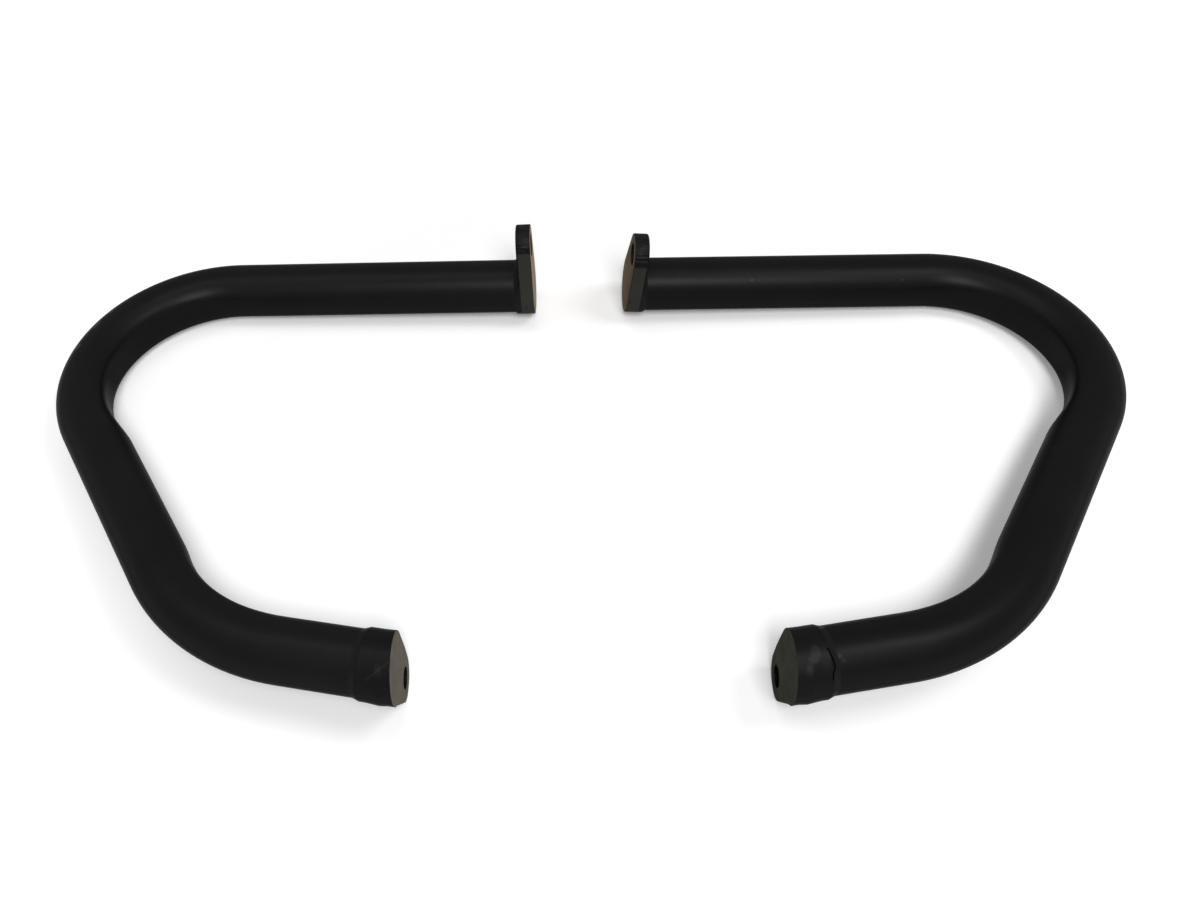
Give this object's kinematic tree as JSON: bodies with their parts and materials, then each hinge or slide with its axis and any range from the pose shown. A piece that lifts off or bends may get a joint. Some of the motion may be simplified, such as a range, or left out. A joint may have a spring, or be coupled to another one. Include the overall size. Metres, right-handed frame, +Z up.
{
  "type": "motorcycle crash bars",
  "caption": "Black steel crash bars, left and right. Each is a tube bent into an open C with a welded mounting lug at either end.",
  "frame": {"origin": "on the ground, under the middle of the pair as it lies", "axes": "+X across the pair to the right bar, +Y from the lower lugs to the top runs, +Z up"},
  "size_m": [0.5986, 0.3014, 0.0619],
  "materials": {
    "tube_coat": "satin black powder coat",
    "lug_coat": "thin satin black coat, worn on the mounting faces",
    "weld_coat": "satin black coat over a weld bead"
  },
  "bodies": {
    "root": {"right_tube": "tube_coat", "right_top_lug": "lug_coat", "right_top_weld": "weld_coat", "right_lower_lug": "lug_coat", "right_lower_weld": "weld_coat", "left_tube": "tube_coat", "left_top_lug": "lug_coat", "left_top_weld": "weld_coat", "left_lower_lug": "lug_coat", "left_lower_weld": "weld_coat"}
  },
  "joints": []
}
